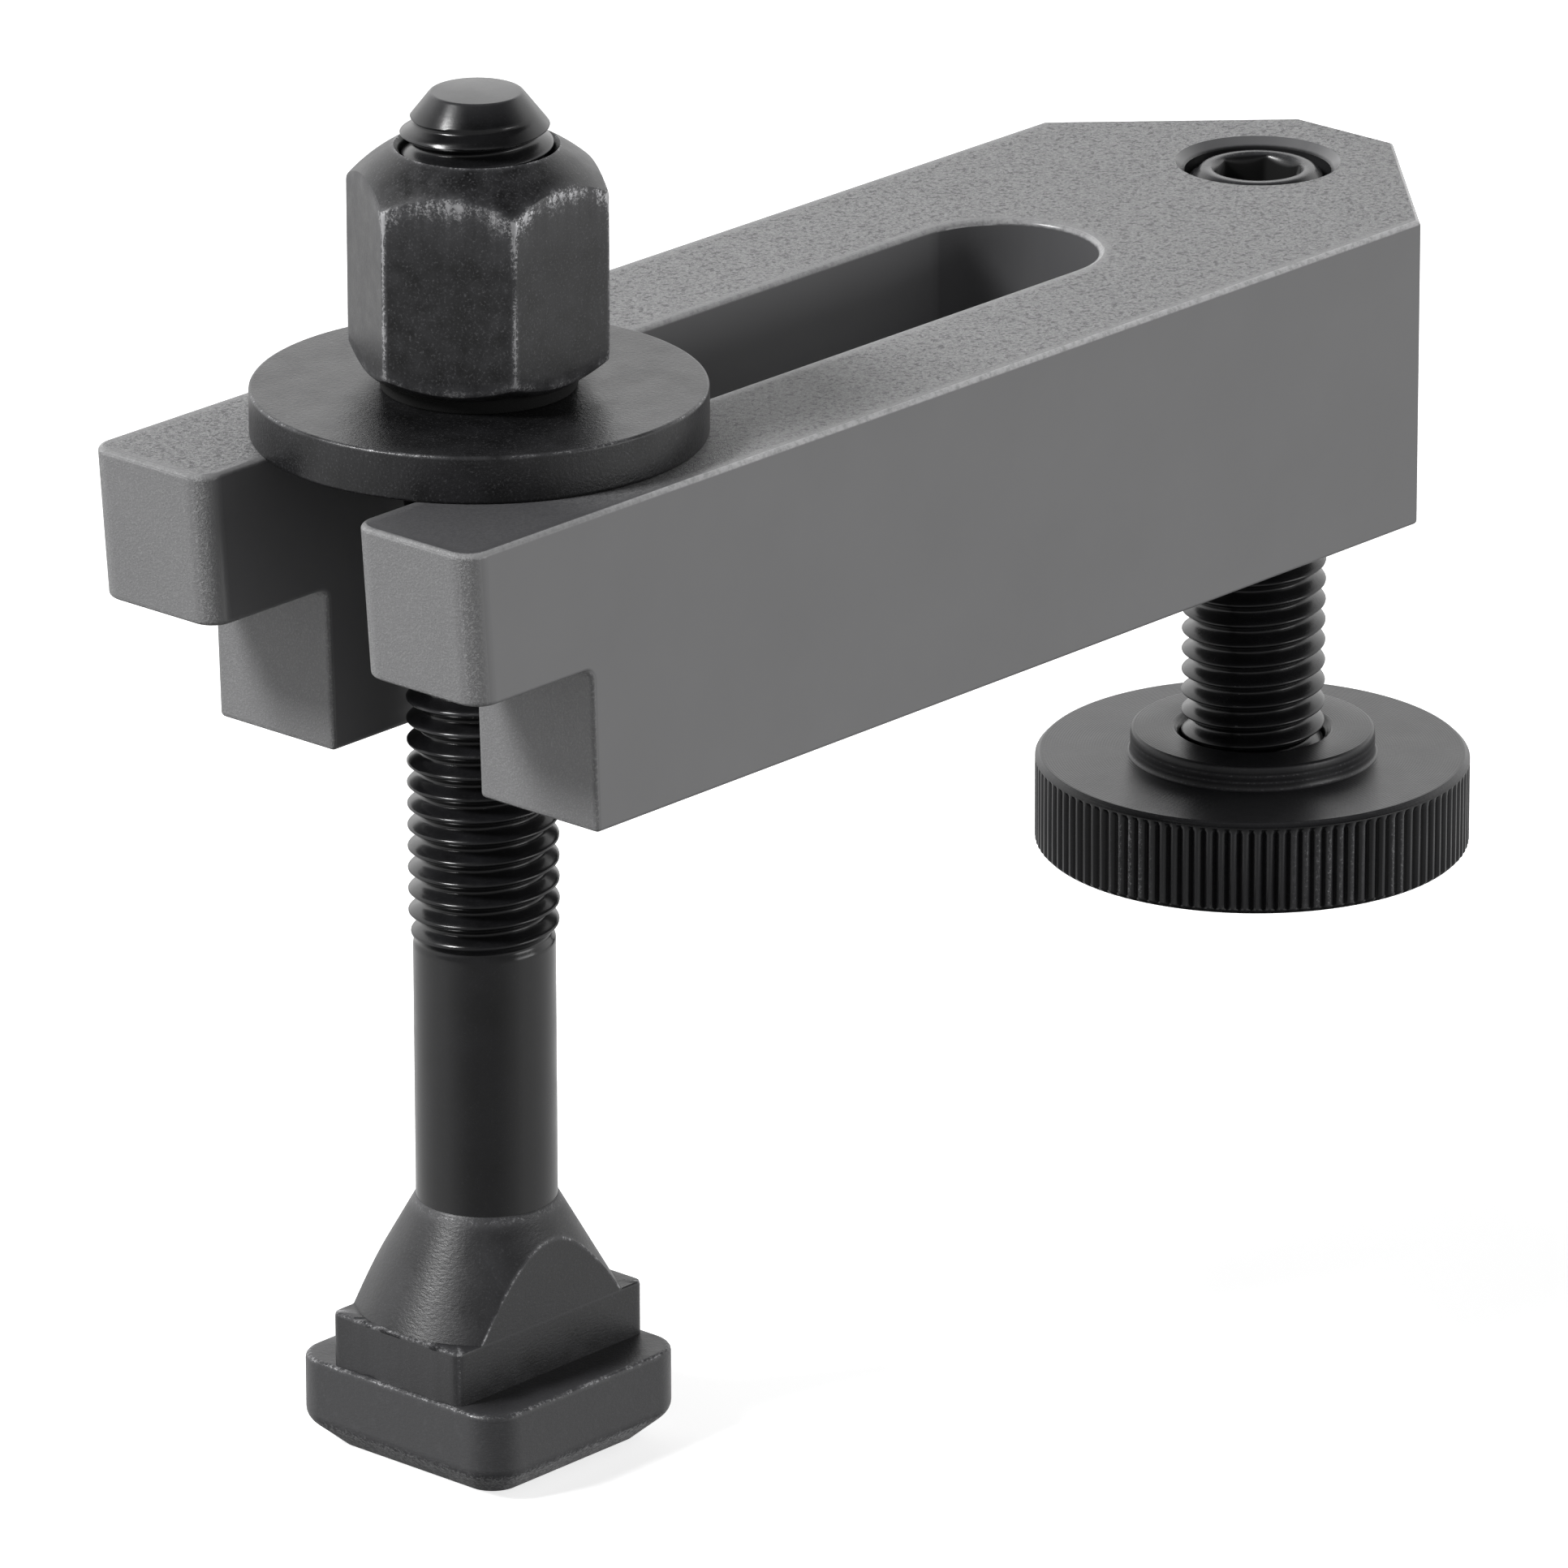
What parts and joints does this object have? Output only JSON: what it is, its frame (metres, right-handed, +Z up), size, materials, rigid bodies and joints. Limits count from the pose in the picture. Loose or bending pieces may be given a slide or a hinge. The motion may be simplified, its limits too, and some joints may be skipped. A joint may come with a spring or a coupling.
{
  "type": "step clamp",
  "caption": "Fork-nosed step clamp with an open slot, a T-slot bolt with washer and tall hexagon nut, and a support screw on a knurled foot at the rear.",
  "frame": {"origin": "underside of the T-slot bolt's head, on the bolt's axis", "axes": "+Z up along the T-slot bolt, +X from the clamp's nose to its rear end along the slot, +Y across the clamp"},
  "size_m": [0.1323, 0.04, 0.1103],
  "materials": {
    "bolt_blackened": "blackened steel, satin, glossy on the rolled thread",
    "washer_blackened": "blackened turned steel, satin",
    "nut_blackened": "blackened forged steel, satin, worn bright at the corners",
    "body_paint": "grey enamel over blasted forged steel, satin",
    "screw_blackened": "blackened steel, glossy on the rolled thread",
    "foot_blackened": "blackened turned steel, satin, knurled rim"
  },
  "bodies": {
    "bolt": {"t_slot_bolt": "bolt_blackened"},
    "washer": {"washer": "washer_blackened"},
    "nut": {"hex_nut": "nut_blackened"},
    "clamp": {"clamp_body": "body_paint"},
    "foot": {"knurled_foot": "foot_blackened"},
    "screw": {"support_screw": "screw_blackened"}
  },
  "joints": [
    {"name": "nut_travel", "type": "slide", "parent": "bolt", "child": "washer", "axis": [0, 0, 1], "range_m": [-0.032, 0.008]},
    {"name": "nut_spin", "type": "hinge", "parent": "washer", "child": "nut", "pos_m": [0, 0, 0.0971], "axis": [0, 0, 1], "range_deg": [-6583, 1646]},
    {"name": "slot_shift", "type": "slide", "parent": "washer", "child": "clamp", "axis": [1, 0, 0], "range_m": [-0.06, 0.01]},
    {"name": "foot_travel", "type": "slide", "parent": "clamp", "child": "foot", "axis": [0, 0, 1], "range_m": [-0.013, 0.022]},
    {"name": "support_spin", "type": "hinge", "parent": "foot", "child": "screw", "pos_m": [0.092, 0, 0.0544], "axis": [0, 0, 1], "range_deg": [-2675, 4526]}
  ],
  "couplings": [
    {"joint": "nut_spin", "follows": "nut_travel", "rad_per_m": 3590.4},
    {"joint": "support_spin", "follows": "foot_travel", "rad_per_m": 3590.4}
  ]
}
